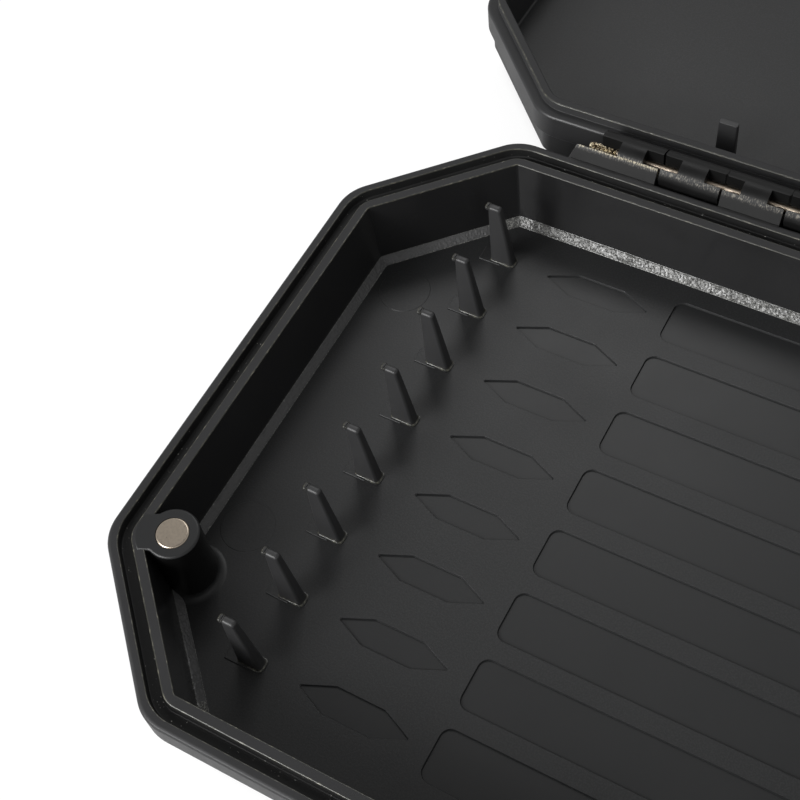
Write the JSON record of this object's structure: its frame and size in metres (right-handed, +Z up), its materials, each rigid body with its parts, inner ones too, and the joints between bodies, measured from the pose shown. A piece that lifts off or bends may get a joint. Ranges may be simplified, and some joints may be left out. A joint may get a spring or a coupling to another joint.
{
  "type": "fishing rig box",
  "caption": "Shallow eight-sided hinged box for made-up fishing rigs, open flat, with barbed line pegs along both ends, corner magnets and a pinned multi-finger hinge.",
  "frame": {"origin": "centre of the tray's flat underside", "axes": "+X along the hinge towards the end away from the pin's knurl, +Y from the front of the tray towards the hinge, +Z up; at rest the lid is folded right back and its far edge lies on the table"},
  "size_m": [0.346, 0.277, 0.0218],
  "materials": {
    "black_plastic": "fine satin grain on the floor, smoother walls",
    "pin_steel": "drawn wire, knurled at one end",
    "magnet_nickel": "satin nickel plate"
  },
  "bodies": {
    "tray_body": {"tray": "black_plastic", "hinge_pin": "pin_steel", "tray_magnet_left": "magnet_nickel", "tray_magnet_right": "magnet_nickel"},
    "lid_body": {"lid": "black_plastic", "lid_magnet_left": "magnet_nickel", "lid_magnet_right": "magnet_nickel"}
  },
  "joints": [
    {"name": "lid_hinge", "type": "hinge", "parent": "tray_body", "child": "lid_body", "pos_m": [0, 0.07135, 0.018], "axis": [1, 0, 0], "range_deg": [0, 182.54]}
  ]
}
